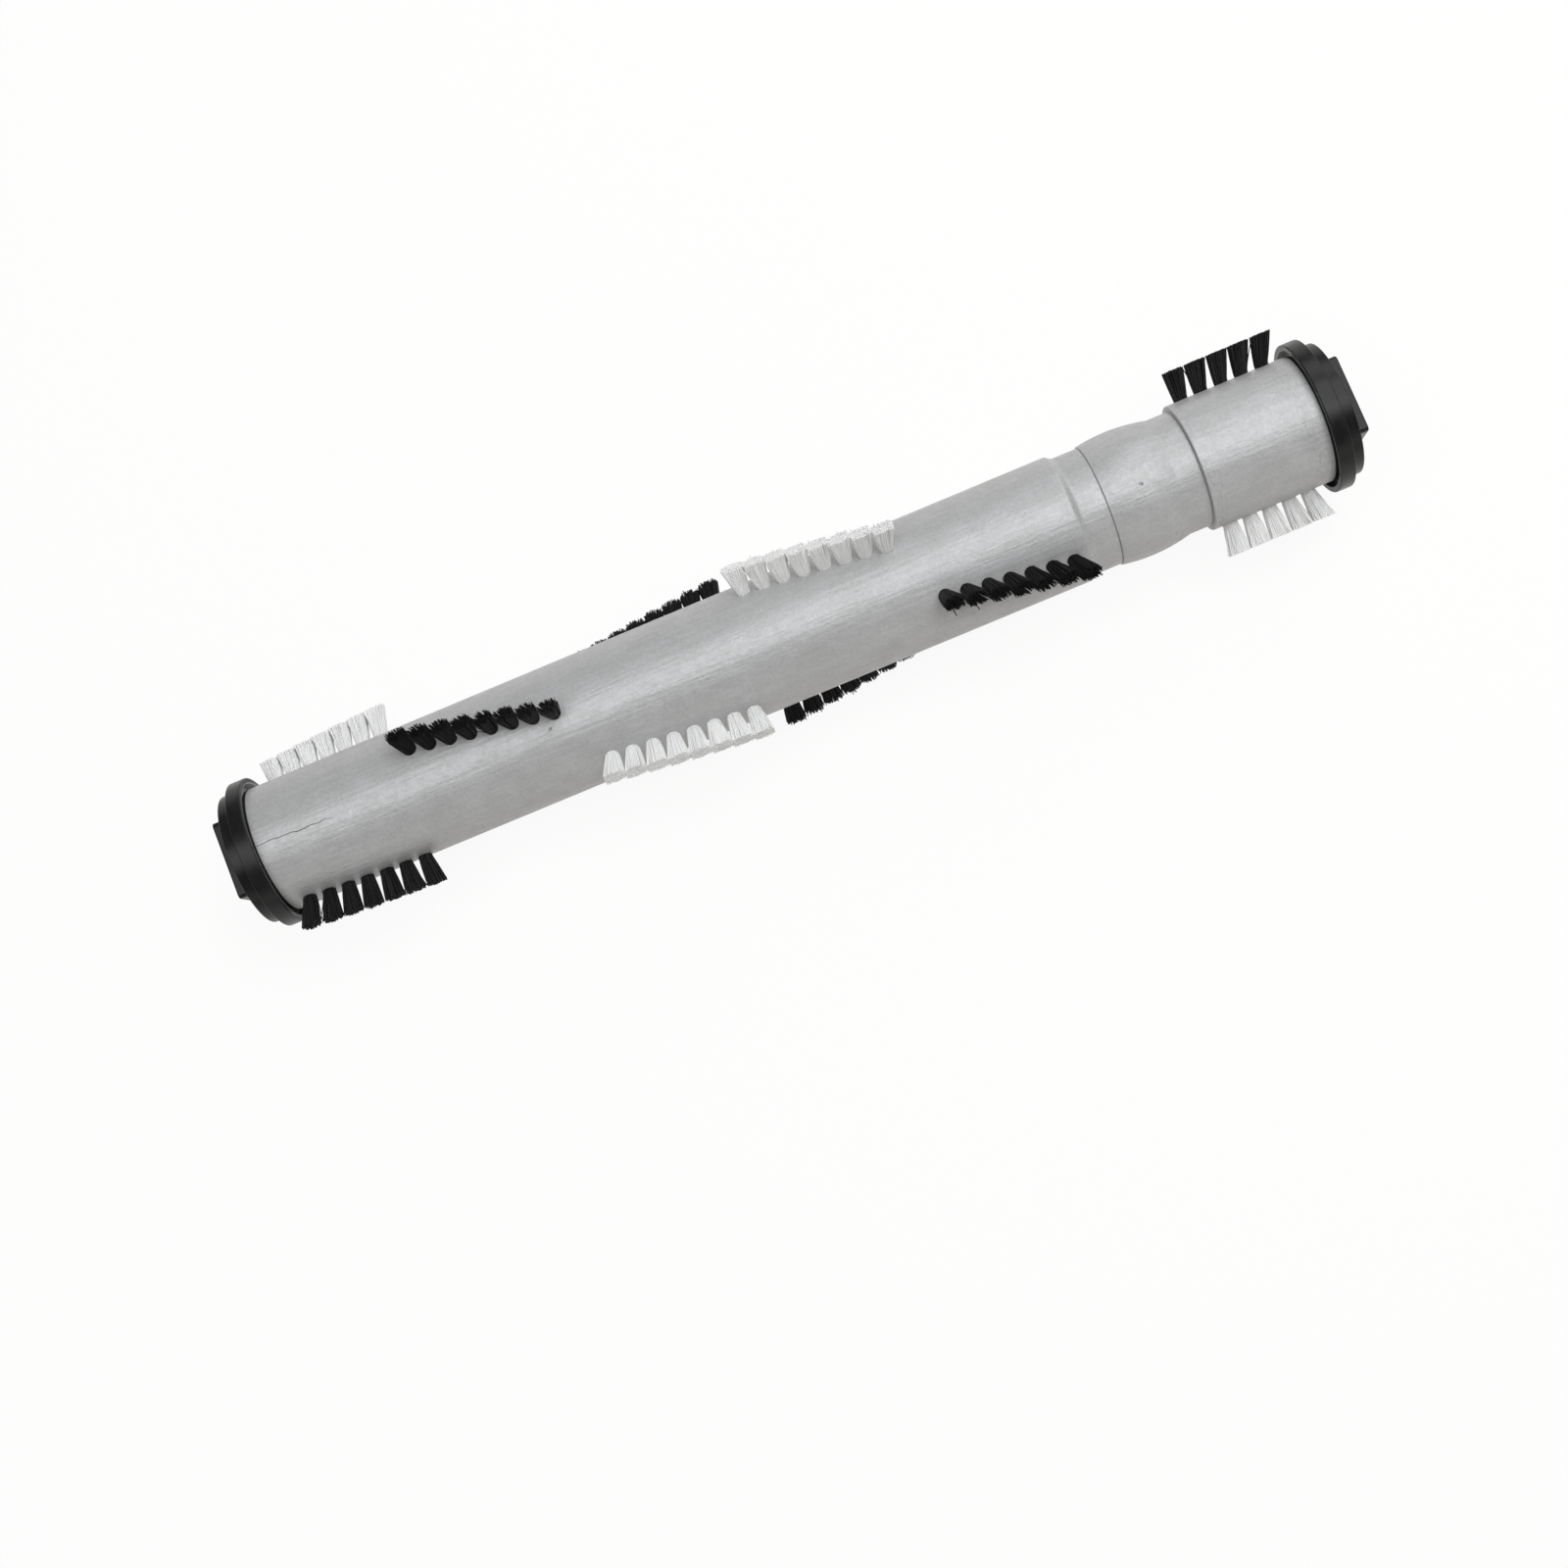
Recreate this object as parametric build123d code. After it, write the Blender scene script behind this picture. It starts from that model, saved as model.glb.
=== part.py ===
from build123d import *
from collections import namedtuple
import math
import os

os.makedirs("parts", exist_ok=True)

# All sizes are millimetres. The roller's axis lies along X, and the belt seat is towards +X.

# Turned wooden roller
ROLLER_LENGTH = 308.8
ROLLER_R = 18.0
END_CHAMFER = 0.6
SPINDLE_R = 4.0
SPINDLE_FIT = 0.02

# Belt seat, measured inwards from the roller's right end
BLOCK_LENGTH = 35.8
WAIST_LENGTH = 6.2
CROWN_LENGTH = 20.2
NECK_LENGTH = 7.8
STEP_LENGTH = 0.8
NECK_DROP = 1.2
WAIST_DROP = 1.5
CROWN_EDGE_DROP = 0.8
CROWN_TOP_DROP = 0.04
CROWN_TOP_PLACE = 8.6
GROOVE_WIDTH = 0.5
GROOVE_DEPTH = 0.35
BLOCK_EDGE = 0.3

# Drilled holes and the bristle tufts in them
HOLE_R = 1.8
HOLE_DEPTH = 8.5
TUFT_FIT = 0.06
TUFT_HEIGHT = 8.5
TUFT_SPLAY = 0.5
TUFT_TIP_GAP = 0.15
TUFT_SIDES = 6
LEFT_MARGIN = 7.1
SECTION_GAP = 9.6
SEAT_MARGIN = 4.8
BLOCK_MARGIN = 4.8
RIGHT_MARGIN = 8.0

# Flat wire anchors, which hold each tuft down at the floor of its hole
WIRE_THICKNESS = 0.45
WIRE_HEIGHT = 1.6
WIRE_FIT = 0.05

# Angles are degrees from the side that faces up at rest, positive towards the back (+Y).
# The white row runs opposite the black one. Leans are along the axis, outwards in each group.
ROLL_TURN = -7.3
Section = namedtuple("Section", "count spread first_angle last_angle black_lean white_lean")
SECTIONS = [
    Section(7, 0.96, -65.0, -79.0, (-10.0, 4.5), (-6.0, 6.0)),
    Section(8, 1.007, 33.0, 12.0, (-5.0, 0.0), (-4.0, 4.0)),
    Section(8, 1.0, 136.0, 120.5, (-3.0, 3.0), (-6.0, 3.0)),
    Section(8, 0.998, -124.5, -144.0, (-3.0, 6.0), (-3.0, 6.0)),
    Section(7, 1.034, -23.5, -40.0, (0.0, 8.0), (-2.0, 8.0)),
]
BLOCK_SECTION = Section(5, 1.0, 88.0, 82.0, (0.5, 13.0), (-3.0, 11.0))

# Ball bearing, 6 x 19 x 6, with a shield on the roller's side
BEARING_BORE_R = 3.0
BEARING_OUTER_R = 9.5
BALL_R = 1.75
BALL_COUNT = 6
BALL_FIT = 0.05
RACE_OPENING = 1.45
CAGE_HALF_THICKNESS = 0.8
CAGE_WINDOW_FIT = 0.12
CAGE_RIM = 0.33
CAGE_SIDE_GAP = 0.3
SHIELD_THICKNESS = 0.3
SHIELD_INSET = 0.2
SHIELD_SEAT = 0.4
SHIELD_GAP = 0.25

# Moulded cap with its square key
CUP_GAP = 1.7
CUP_WALL = 1.6
CUP_DEPTH = 3.0
CUP_FLOOR = 1.3
ROLLER_REACH = 1.4
TIER_STEP = 2.5
TIER_BEVEL = 0.5
MOUTH_BEVEL = 0.3
BEARING_FIT = 0.02
KEY_WALL = 1.6
KEY_RISE = 3.5
KEY_CORNER = 1.2
KEY_BEVEL = 0.4
END_WALL = 1.4
SHAFT_END_GAP = 0.3
SHAFT_RECESS_R = 5.5

# Thread guard disc and felt ring between the roller and the bearing
GUARD_THICKNESS = 0.6
GUARD_INSET = 1.0
COLLAR_WALL = 0.8
COLLAR_RISE = 0.6
FELT_RECESS = 0.6
FELT_MARGIN = 2.0
FELT_GAP = 0.3
FELT_COLLAR_GAP = 0.5
SHOULDER_GAP = 0.05

# Sizes that follow from the ones above
cage_half_width = BALL_R + CAGE_WINDOW_FIT + CAGE_RIM
bearing_width = 2 * (cage_half_width + CAGE_SIDE_GAP + SHIELD_THICKNESS + SHIELD_INSET)
pitch_r = (BEARING_BORE_R + BEARING_OUTER_R) / 2
roller_end = ROLLER_LENGTH / 2
mouth_x = roller_end - ROLLER_REACH
rim_r = ROLLER_R + CUP_GAP + CUP_WALL
key_side = 2 * (BEARING_OUTER_R + KEY_WALL)
bearing_start = CUP_DEPTH + FELT_RECESS
bearing_end = bearing_start + bearing_width
cap_length = bearing_end + SHAFT_END_GAP + END_WALL
block_start = roller_end - BLOCK_LENGTH
crown_end = block_start - WAIST_LENGTH
crown_start = crown_end - CROWN_LENGTH
neck_start = crown_start - NECK_LENGTH
barrel_end = neck_start - STEP_LENGTH
tip_r = ROLLER_R + TUFT_HEIGHT
hole_floor_r = ROLLER_R - HOLE_DEPTH
wire_r = hole_floor_r + WIRE_FIT + WIRE_HEIGHT / 2
wire_length = 2 * (HOLE_R * math.cos(math.pi / TUFT_SIDES) - WIRE_FIT)
stem_start_r = hole_floor_r + WIRE_HEIGHT + 2 * WIRE_FIT


def turned(points):
    """A body turned about the X axis from a closed half section of (x, radius) points."""
    return revolve(make_face(Polyline(*points, close=True)), axis=Axis.X)


def radial(x, angle):
    """A place on the axis at x whose own Z points outwards at the angle."""
    return Location((x, 0, 0), (-angle, 0, 0))


def tuft_places(section, first_x, pitch, colour):
    """The x, angle and lean of each tuft of one colour in a section."""
    lean_ends = section.black_lean if colour == "black" else section.white_lean
    half_turn = 0 if colour == "black" else 180
    places = []
    for number in range(section.count):
        share = number / (section.count - 1)
        angle = section.first_angle + share * (section.last_angle - section.first_angle)
        lean = lean_ends[0] + share * (lean_ends[1] - lean_ends[0])
        x = first_x + number * pitch * section.spread
        places.append((x, angle + half_turn + ROLL_TURN, lean))
    return places


def section_layout():
    """Each section with its first hole and its pitch, spread over the barrel and the block."""
    barrel_run = barrel_end + roller_end - LEFT_MARGIN - SEAT_MARGIN
    blanks = SECTION_GAP * (len(SECTIONS) - 1)
    steps = sum((section.count - 1) * section.spread for section in SECTIONS)
    pitch = (barrel_run - blanks) / steps
    layout = []
    x = LEFT_MARGIN - roller_end
    for section in SECTIONS:
        layout.append((section, x, pitch))
        x += (section.count - 1) * section.spread * pitch + SECTION_GAP
    block_run = BLOCK_LENGTH - BLOCK_MARGIN - RIGHT_MARGIN
    block_pitch = block_run / (BLOCK_SECTION.count - 1)
    layout.append((BLOCK_SECTION, block_start + BLOCK_MARGIN, block_pitch))
    return layout


def outline(height, radius, stretch=0, shift=0):
    """One level of a hole or a bundle, with few sides, because there are many. A stretch along
    the axis keeps the direction of each side, so that a bundle has flat faces."""
    corners = []
    for corner in range(TUFT_SIDES):
        turn = 2 * math.pi * corner / TUFT_SIDES
        along = radius * math.cos(turn)
        corners.append((shift + along + math.copysign(stretch, along), radius * math.sin(turn), height))
    return corners


def stacked(levels):
    """The solid between outlines at rising heights, closed by flat faces."""
    loops = [levels[0], levels[-1]]
    for lower, upper in zip(levels, levels[1:]):
        for this in range(TUFT_SIDES):
            after = (this + 1) % TUFT_SIDES
            loops.append([lower[this], lower[after], upper[after], upper[this]])
    return Solid(Shell([Face(Wire.make_polygon(loop, close=True)) for loop in loops]))


def tuft(x, angle, lean, pitch):
    """A bundle of bristle: a straight stem in its hole, splayed and leaning above it."""
    stem_r = HOLE_R - TUFT_FIT
    splayed_r = stem_r + TUFT_SPLAY
    stretch = pitch / 2 - TUFT_TIP_GAP - splayed_r
    shift = TUFT_HEIGHT * math.tan(math.radians(lean))
    levels = [
        outline(stem_start_r, stem_r),
        outline(ROLLER_R, stem_r),
        outline(tip_r, splayed_r, stretch, shift),
    ]
    return radial(x, angle) * stacked(levels)


def anchor_wire(x, angle):
    """A flat wire at the floor of a hole, across the grain of the wood."""
    wire = Box(WIRE_THICKNESS, wire_length, WIRE_HEIGHT)
    return radial(x, angle) * Pos(0, 0, wire_r) * wire


def tuft_hole():
    """The room that one bundle and its wire need, open at the roller's surface."""
    levels = [outline(hole_floor_r, HOLE_R), outline(ROLLER_R + 1, HOLE_R)]
    return stacked(levels)


def roller_core(layout):
    """The turned roller with its belt seat, spindle bore and tuft holes."""
    neck_r = ROLLER_R - NECK_DROP
    waist_r = ROLLER_R - WAIST_DROP
    crown_edge_r = ROLLER_R - CROWN_EDGE_DROP
    crown_top = (crown_start + CROWN_TOP_PLACE, ROLLER_R - CROWN_TOP_DROP)
    bore_r = SPINDLE_R + SPINDLE_FIT
    left_side = Polyline(
        (-roller_end, bore_r),
        (-roller_end, ROLLER_R - END_CHAMFER),
        (END_CHAMFER - roller_end, ROLLER_R),
        (barrel_end, ROLLER_R),
        (neck_start, neck_r),
        (crown_start - GROOVE_WIDTH / 2, neck_r),
        (crown_start, neck_r - GROOVE_DEPTH),
        (crown_start + GROOVE_WIDTH / 2, crown_edge_r),
    )
    crown = ThreePointArc(left_side @ 1, crown_top, (crown_end, waist_r))
    right_side = Polyline(
        (crown_end, waist_r),
        (block_start - GROOVE_WIDTH, waist_r),
        (block_start - GROOVE_WIDTH / 2, waist_r - GROOVE_DEPTH),
        (block_start, ROLLER_R - BLOCK_EDGE),
        (block_start + BLOCK_EDGE, ROLLER_R),
        (roller_end - END_CHAMFER, ROLLER_R),
        (roller_end, ROLLER_R - END_CHAMFER),
        (roller_end, bore_r),
        (-roller_end, bore_r),
    )
    core = revolve(make_face(left_side + crown + right_side), axis=Axis.X)
    hole = tuft_hole()
    holes = []
    for section, first_x, pitch in layout:
        for colour in ("black", "white"):
            for x, angle, lean in tuft_places(section, first_x, pitch, colour):
                holes.append(radial(x, angle) * hole)
    return core - holes


def spindle():
    """The steel shaft, turned down at both ends for the bearings."""
    shoulder_x = mouth_x + bearing_start - SHOULDER_GAP
    end_x = mouth_x + bearing_end
    journal_r = BEARING_BORE_R - BEARING_FIT
    half = [(shoulder_x, SPINDLE_R), (shoulder_x, journal_r), (end_x, journal_r), (end_x, 0)]
    return turned([(-x, r) for x, r in reversed(half)] + half)


def thread_guard():
    """The pressed disc on the right end face, with a collar round the shaft."""
    bore_r = SPINDLE_R + SPINDLE_FIT
    collar_r = bore_r + COLLAR_WALL
    outer_r = ROLLER_R - GUARD_INSET
    face_x = roller_end + GUARD_THICKNESS
    return turned([
        (roller_end, bore_r),
        (roller_end, outer_r),
        (face_x, outer_r),
        (face_x, collar_r),
        (face_x + COLLAR_RISE, collar_r),
        (face_x + COLLAR_RISE, bore_r),
    ])


def felt_ring():
    """The felt dust seal in the right cap's floor, just clear of the guard."""
    inner_r = SPINDLE_R + SPINDLE_FIT + COLLAR_WALL + FELT_COLLAR_GAP
    outer_r = BEARING_OUTER_R + FELT_MARGIN - BEARING_FIT
    start_x = roller_end + GUARD_THICKNESS + FELT_GAP
    end_x = mouth_x + bearing_start
    return turned([(start_x, inner_r), (start_x, outer_r), (end_x, outer_r), (end_x, inner_r)])


def cap():
    """The right cap: a cup round the roller's end, a smaller tier, and the square key."""
    tier_r = rim_r - TIER_STEP
    tier_start = CUP_DEPTH + CUP_FLOOR
    tier_end = cap_length - KEY_RISE
    shell = turned([
        (0, 0),
        (0, rim_r - MOUTH_BEVEL),
        (MOUTH_BEVEL, rim_r),
        (tier_start - TIER_BEVEL, rim_r),
        (tier_start, rim_r - TIER_BEVEL),
        (tier_start, tier_r),
        (tier_end - TIER_BEVEL, tier_r),
        (tier_end, tier_r - TIER_BEVEL),
        (tier_end, 0),
    ])
    key_depth = cap_length - tier_start
    key = Pos(cap_length - key_depth / 2, 0, 0) * Box(key_depth, key_side, key_side)
    key = fillet(key.edges().filter_by(Axis.X), KEY_CORNER)
    key = chamfer(key.faces().sort_by(Axis.X)[-1].edges(), KEY_BEVEL)
    cup_r = ROLLER_R + CUP_GAP
    pocket_r = BEARING_OUTER_R + BEARING_FIT
    recess_x = bearing_end + SHAFT_END_GAP
    hollow = turned([
        (-1, 0),
        (-1, cup_r),
        (CUP_DEPTH, cup_r),
        (CUP_DEPTH, BEARING_OUTER_R + FELT_MARGIN),
        (bearing_start, BEARING_OUTER_R + FELT_MARGIN),
        (bearing_start, pocket_r),
        (bearing_end, pocket_r),
        (bearing_end, SHAFT_RECESS_R),
        (recess_x, SHAFT_RECESS_R),
        (recess_x, 0),
    ])
    return Pos(mouth_x, 0, 0) * (shell + key - hollow)


def race_groove():
    """The ring that the balls sweep, with their running clearance."""
    section = Pos(0, pitch_r) * Circle(BALL_R + BALL_FIT)
    return revolve(section, axis=Axis.X)


def inner_race():
    half = bearing_width / 2
    shoulder_r = pitch_r - RACE_OPENING
    ring = turned([
        (-half, BEARING_BORE_R), (-half, shoulder_r), (half, shoulder_r), (half, BEARING_BORE_R),
    ])
    return ring - race_groove()


def outer_race():
    """The outer race, with a rebate for the shield on the roller's side."""
    half = bearing_width / 2
    shoulder_r = pitch_r + RACE_OPENING
    seat_r = shoulder_r + SHIELD_SEAT
    seat_x = half - SHIELD_INSET - SHIELD_THICKNESS
    ring = turned([
        (-half, BEARING_OUTER_R),
        (-half, seat_r),
        (-seat_x, seat_r),
        (-seat_x, shoulder_r),
        (half, shoulder_r),
        (half, BEARING_OUTER_R),
    ])
    return ring - race_groove()


def shield():
    """The thin disc that keeps dust from the balls, seated in the outer race."""
    inner_r = pitch_r - RACE_OPENING + SHIELD_GAP
    outer_r = pitch_r + RACE_OPENING + SHIELD_SEAT
    face_x = SHIELD_INSET - bearing_width / 2
    back_x = face_x + SHIELD_THICKNESS
    return turned([(face_x, inner_r), (face_x, outer_r), (back_x, outer_r), (back_x, inner_r)])


def ball_places():
    return [radial(0, 360 * number / BALL_COUNT) * Pos(0, 0, pitch_r) for number in range(BALL_COUNT)]


def balls():
    return [place * Sphere(BALL_R) for place in ball_places()]


def cage():
    """The ring that keeps the balls apart, with a window for each."""
    outer_r = pitch_r + CAGE_HALF_THICKNESS
    inner_r = pitch_r - CAGE_HALF_THICKNESS
    side_x = cage_half_width
    ring = turned([(-side_x, inner_r), (-side_x, outer_r), (side_x, outer_r), (side_x, inner_r)])
    window_side = 2 * (BALL_R + CAGE_WINDOW_FIT)
    window = Box(window_side, window_side, 4 * CAGE_HALF_THICKNESS)
    return ring - [place * window for place in ball_places()]


def save(node, pieces):
    """Write one node, lifted so that the lowest tuft stands on z = 0."""
    if not isinstance(pieces, list):
        pieces = [pieces]
    solids = []
    for piece in pieces:
        solids += (Pos(0, 0, axis_z) * piece).solids()
    export_step(Compound(solids) if len(solids) > 1 else solids[0], "parts/" + node + ".step")


def save_pair(node, pieces):
    """Write the right-hand piece and its mirror image at the left end."""
    if not isinstance(pieces, list):
        pieces = [pieces]
    save(node + "_right", pieces)
    save(node + "_left", [mirror(piece, about=Plane.YZ) for piece in pieces])


layout = section_layout()
tuft_groups = {}
for index, (section, first_x, pitch) in enumerate(layout, start=1):
    for colour in ("black", "white"):
        places = tuft_places(section, first_x, pitch, colour)
        group = [tuft(x, angle, lean, pitch * section.spread) for x, angle, lean in places]
        tuft_groups["tufts_" + colour + "_" + str(index)] = group
axis_z = -min(Compound(group).bounding_box().min.Z for group in tuft_groups.values())

for node, group in tuft_groups.items():
    save(node, group)
for index, (section, first_x, pitch) in enumerate(layout, start=1):
    wires = []
    for colour in ("black", "white"):
        wires += [anchor_wire(x, angle) for x, angle, lean in tuft_places(section, first_x, pitch, colour)]
    save("anchor_wires_" + str(index), wires)
save("roller_core", roller_core(layout))
save("spindle", spindle())
save_pair("thread_guard", thread_guard())
save_pair("felt_ring", felt_ring())
save_pair("end_cap", cap())

bearing_place = Pos(mouth_x + bearing_start + bearing_width / 2, 0, 0)
save_pair("bearing_inner_race", bearing_place * inner_race())
save_pair("bearing_outer_race", bearing_place * outer_race())
save_pair("bearing_shield", bearing_place * shield())
save_pair("bearing_balls", [bearing_place * ball for ball in balls()])
save_pair("bearing_cage", bearing_place * cage())
print("axis height", round(axis_z, 4))
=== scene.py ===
import math

import bmesh
import bpy
from mathutils import Matrix, Vector


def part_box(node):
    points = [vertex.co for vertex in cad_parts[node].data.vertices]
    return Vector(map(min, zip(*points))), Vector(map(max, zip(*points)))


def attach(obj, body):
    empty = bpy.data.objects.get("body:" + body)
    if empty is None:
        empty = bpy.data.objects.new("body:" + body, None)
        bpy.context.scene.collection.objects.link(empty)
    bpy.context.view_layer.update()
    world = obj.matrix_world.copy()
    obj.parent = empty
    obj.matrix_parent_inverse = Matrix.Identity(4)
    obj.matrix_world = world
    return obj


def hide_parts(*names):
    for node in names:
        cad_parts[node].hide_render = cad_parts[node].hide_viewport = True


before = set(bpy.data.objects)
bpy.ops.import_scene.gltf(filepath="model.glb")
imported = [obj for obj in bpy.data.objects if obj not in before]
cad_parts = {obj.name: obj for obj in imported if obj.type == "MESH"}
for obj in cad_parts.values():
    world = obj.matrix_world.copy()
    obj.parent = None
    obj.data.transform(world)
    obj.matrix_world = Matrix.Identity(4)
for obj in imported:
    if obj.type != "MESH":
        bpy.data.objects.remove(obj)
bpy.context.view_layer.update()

# Turned roller
# One length of beech, turned with a stepped neck, a crowned belt seat and a waist near the right
# end, painted silver grey, and then drilled along two helical lines for the bristle.
MM = 0.001
axis_height = sum(corner.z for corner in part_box("end_cap_left")) / 2
roller_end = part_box("roller_core")[1].x
ROLLER_RADIUS = 18.0 * MM
BORE_RADIUS = 4.02 * MM
END_ROUND = 0.7 * MM
STEP_ROUND = 1.6 * MM
STEP_HOLLOW = 2.4 * MM
GROOVE_ROUND = 0.05 * MM
GROOVE_FLOOR_ROUND = 0.03 * MM
BLOCK_ROUND = 0.3 * MM
BARREL_END = 83.3 * MM
NECK_START = 84.7 * MM
NECK_RADIUS = 16.8 * MM
CROWN_START = 92.2 * MM
CROWN_TOP = 100.8 * MM
CROWN_TOP_RADIUS = 17.96 * MM
CROWN_EDGE_RADIUS = 17.2 * MM
WAIST_START = 112.4 * MM
WAIST_RADIUS = 16.5 * MM
BLOCK_START = 118.6 * MM
GROOVE_HALF = 0.16 * MM
GROOVE_DEPTH = 0.2 * MM
CAP_MOUTH = 153.0 * MM
ROLLER_SIDES = 240
CROWN_STEPS = 16
HOLE_RADIUS = 1.8 * MM
HOLE_DEPTH = 8.5 * MM
HOLE_SIDES = 24


def rounded_outline(corners, steps=4):
    """Points along a half section, from corners of (x, radius, rounding)."""
    points = []
    for index, (x, radius, rounding) in enumerate(corners):
        here = Vector((x, radius))
        if not rounding:
            points.append(here)
            continue
        before = (Vector(corners[index - 1][:2]) - here).normalized()
        after = (Vector(corners[(index + 1) % len(corners)][:2]) - here).normalized()
        half = before.angle(after) / 2
        reach = rounding / math.tan(half)
        centre = here + (before + after).normalized() * rounding / math.sin(half)
        start = here + before * reach - centre
        end = here + after * reach - centre
        for step in range(steps + 1):
            points.append(centre + start.lerp(end, step / steps).normalized() * rounding)
    return points


def ring_mesh(name, rings, sides, closed=False):
    """A mesh skinned over rings about the roller's axis. Each ring is (x, radius), where a
    radius of zero is a pole and a radius may be a function of the angle."""
    shape = bmesh.new()
    loops = []
    for x, radius in rings:
        if radius == 0:
            loops.append([shape.verts.new((x, 0, axis_height))])
            continue
        loop = []
        for side in range(sides):
            angle = 2 * math.pi * side / sides
            reach = radius(angle) if callable(radius) else radius
            y, z = reach * math.sin(angle), axis_height + reach * math.cos(angle)
            loop.append(shape.verts.new((x, y, z)))
        loops.append(loop)
    pairs = list(zip(loops, loops[1:]))
    if closed:
        pairs.append((loops[-1], loops[0]))
    for first, second in pairs:
        for side in range(sides):
            after = (side + 1) % sides
            if len(first) == 1:
                shape.faces.new((first[0], second[after], second[side]))
            elif len(second) == 1:
                shape.faces.new((first[side], first[after], second[0]))
            else:
                shape.faces.new((first[side], first[after], second[after], second[side]))
    bmesh.ops.recalc_face_normals(shape, faces=shape.faces)
    mesh = bpy.data.meshes.new(name)
    shape.to_mesh(mesh)
    shape.free()
    return mesh


def new_piece(name, mesh):
    piece = bpy.data.objects.new(name, mesh)
    bpy.context.scene.collection.objects.link(piece)
    return piece


def keep_result(piece):
    """Turn a piece and its modifiers into a plain mesh."""
    graph = bpy.context.evaluated_depsgraph_get()
    mesh = bpy.data.meshes.new_from_object(piece.evaluated_get(graph))
    piece.modifiers.clear()
    piece.data = mesh


def smooth_shading(piece, sharp_degrees=38):
    """Smooth the round stretches, and keep flats flat and corners crisp."""
    mesh = piece.data
    mesh.polygons.foreach_set("use_smooth", [True] * len(mesh.polygons))
    mesh.set_sharp_from_angle(angle=math.radians(sharp_degrees))
    weighted = piece.modifiers.new("Weighted normals", "WEIGHTED_NORMAL")
    weighted.keep_sharp = True
    keep_result(piece)


def crown_points():
    """The crowned belt seat: an arc through its left edge, its top and the waist."""
    left = Vector((CROWN_START + GROOVE_HALF, CROWN_EDGE_RADIUS))
    top = Vector((CROWN_TOP, CROWN_TOP_RADIUS))
    right = Vector((WAIST_START, WAIST_RADIUS))
    edge, far = top - left, right - left
    across = 2 * edge.cross(far)
    centre = left + Vector((
        (far.y * edge.length_squared - edge.y * far.length_squared) / across,
        (edge.x * far.length_squared - far.x * edge.length_squared) / across,
    ))
    radius = (left - centre).length
    start = left - centre
    points = []
    for step in range(CROWN_STEPS + 1):
        direction = start.lerp(right - centre, step / CROWN_STEPS).normalized()
        point = centre + direction * radius
        points.append((point.x, point.y, 0))
    return points


roller_corners = [
    (-roller_end, BORE_RADIUS, 0),
    (-roller_end, ROLLER_RADIUS, END_ROUND),
    (BARREL_END, ROLLER_RADIUS, STEP_ROUND),
    (NECK_START, NECK_RADIUS, STEP_HOLLOW),
    (CROWN_START - GROOVE_HALF, NECK_RADIUS, GROOVE_ROUND),
    (CROWN_START, NECK_RADIUS - GROOVE_DEPTH, GROOVE_ROUND),
    *crown_points(),
    (BLOCK_START - 2 * GROOVE_HALF, WAIST_RADIUS, GROOVE_ROUND),
    (BLOCK_START - GROOVE_HALF, WAIST_RADIUS - GROOVE_DEPTH / 2, GROOVE_FLOOR_ROUND),
    (BLOCK_START, ROLLER_RADIUS, BLOCK_ROUND),
    (roller_end, ROLLER_RADIUS, END_ROUND),
    (roller_end, BORE_RADIUS, 0),
]


MERGE_DISTANCE = 0.001 * MM
TIP_FLATNESS = 0.01 * MM


def cad_tufts(node):
    """Each tuft of a CAD node as (mouth of its hole, outward direction, lean along the axis)."""
    shape = bmesh.new()
    shape.from_mesh(node.data)
    bmesh.ops.remove_doubles(shape, verts=shape.verts, dist=MERGE_DISTANCE)
    waiting = set(shape.verts)
    tufts = []
    while waiting:
        island, reached = set(), [waiting.pop()]
        while reached:
            vertex = reached.pop()
            island.add(vertex)
            for edge in vertex.link_edges:
                other = edge.other_vert(vertex)
                if other in waiting:
                    waiting.remove(other)
                    reached.append(other)
        places = [vertex.co - Vector((0, 0, axis_height)) for vertex in island]
        feet = [place for place in places if place.yz.length < ROLLER_RADIUS - HOLE_DEPTH / 2]
        foot = sum(feet, Vector()) / len(feet)
        outwards = Vector((0, *foot.yz)).normalized()
        height = max(place.dot(outwards) for place in places)
        tips = [place.x for place in places if place.dot(outwards) > height - TIP_FLATNESS]
        foot_x = (min(place.x for place in feet) + max(place.x for place in feet)) / 2
        tip_x = (min(tips) + max(tips)) / 2
        mouth = Vector((foot_x, 0, axis_height)) + outwards * ROLLER_RADIUS
        tufts.append((mouth, outwards, tip_x - foot_x))
    shape.free()
    return sorted(tufts, key=lambda tuft: tuft[0].x)


tufts_of = {
    name: cad_tufts(node) for name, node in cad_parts.items() if name.startswith("tufts_")
}

DRILL_OVERRUN = 1.0 * MM
drill = bmesh.new()
half_way_down = Matrix.Translation((0, 0, -HOLE_DEPTH / 2))
for tufts in tufts_of.values():
    for mouth, outwards, lean in tufts:
        aim = outwards.to_track_quat("Z", "X").to_matrix().to_4x4()
        bmesh.ops.create_cone(
            drill, cap_ends=True, segments=HOLE_SIDES, radius1=HOLE_RADIUS, radius2=HOLE_RADIUS,
            depth=HOLE_DEPTH + 2 * DRILL_OVERRUN, matrix=Matrix.Translation(mouth) @ aim @ half_way_down,
        )
drill_mesh = bpy.data.meshes.new("drill")
drill.to_mesh(drill_mesh)
drill.free()
drills = new_piece("drill", drill_mesh)


def add_node(tree, kind, inputs=None, **settings):
    """A node with its settings, and each input linked from a socket or set to a value."""
    made = tree.nodes.new(kind)
    for name, value in settings.items():
        setattr(made, name, value)
    for key, value in (inputs or {}).items():
        if isinstance(value, bpy.types.NodeSocket):
            tree.links.new(value, made.inputs[key])
        else:
            made.inputs[key].default_value = value
    return made


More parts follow.
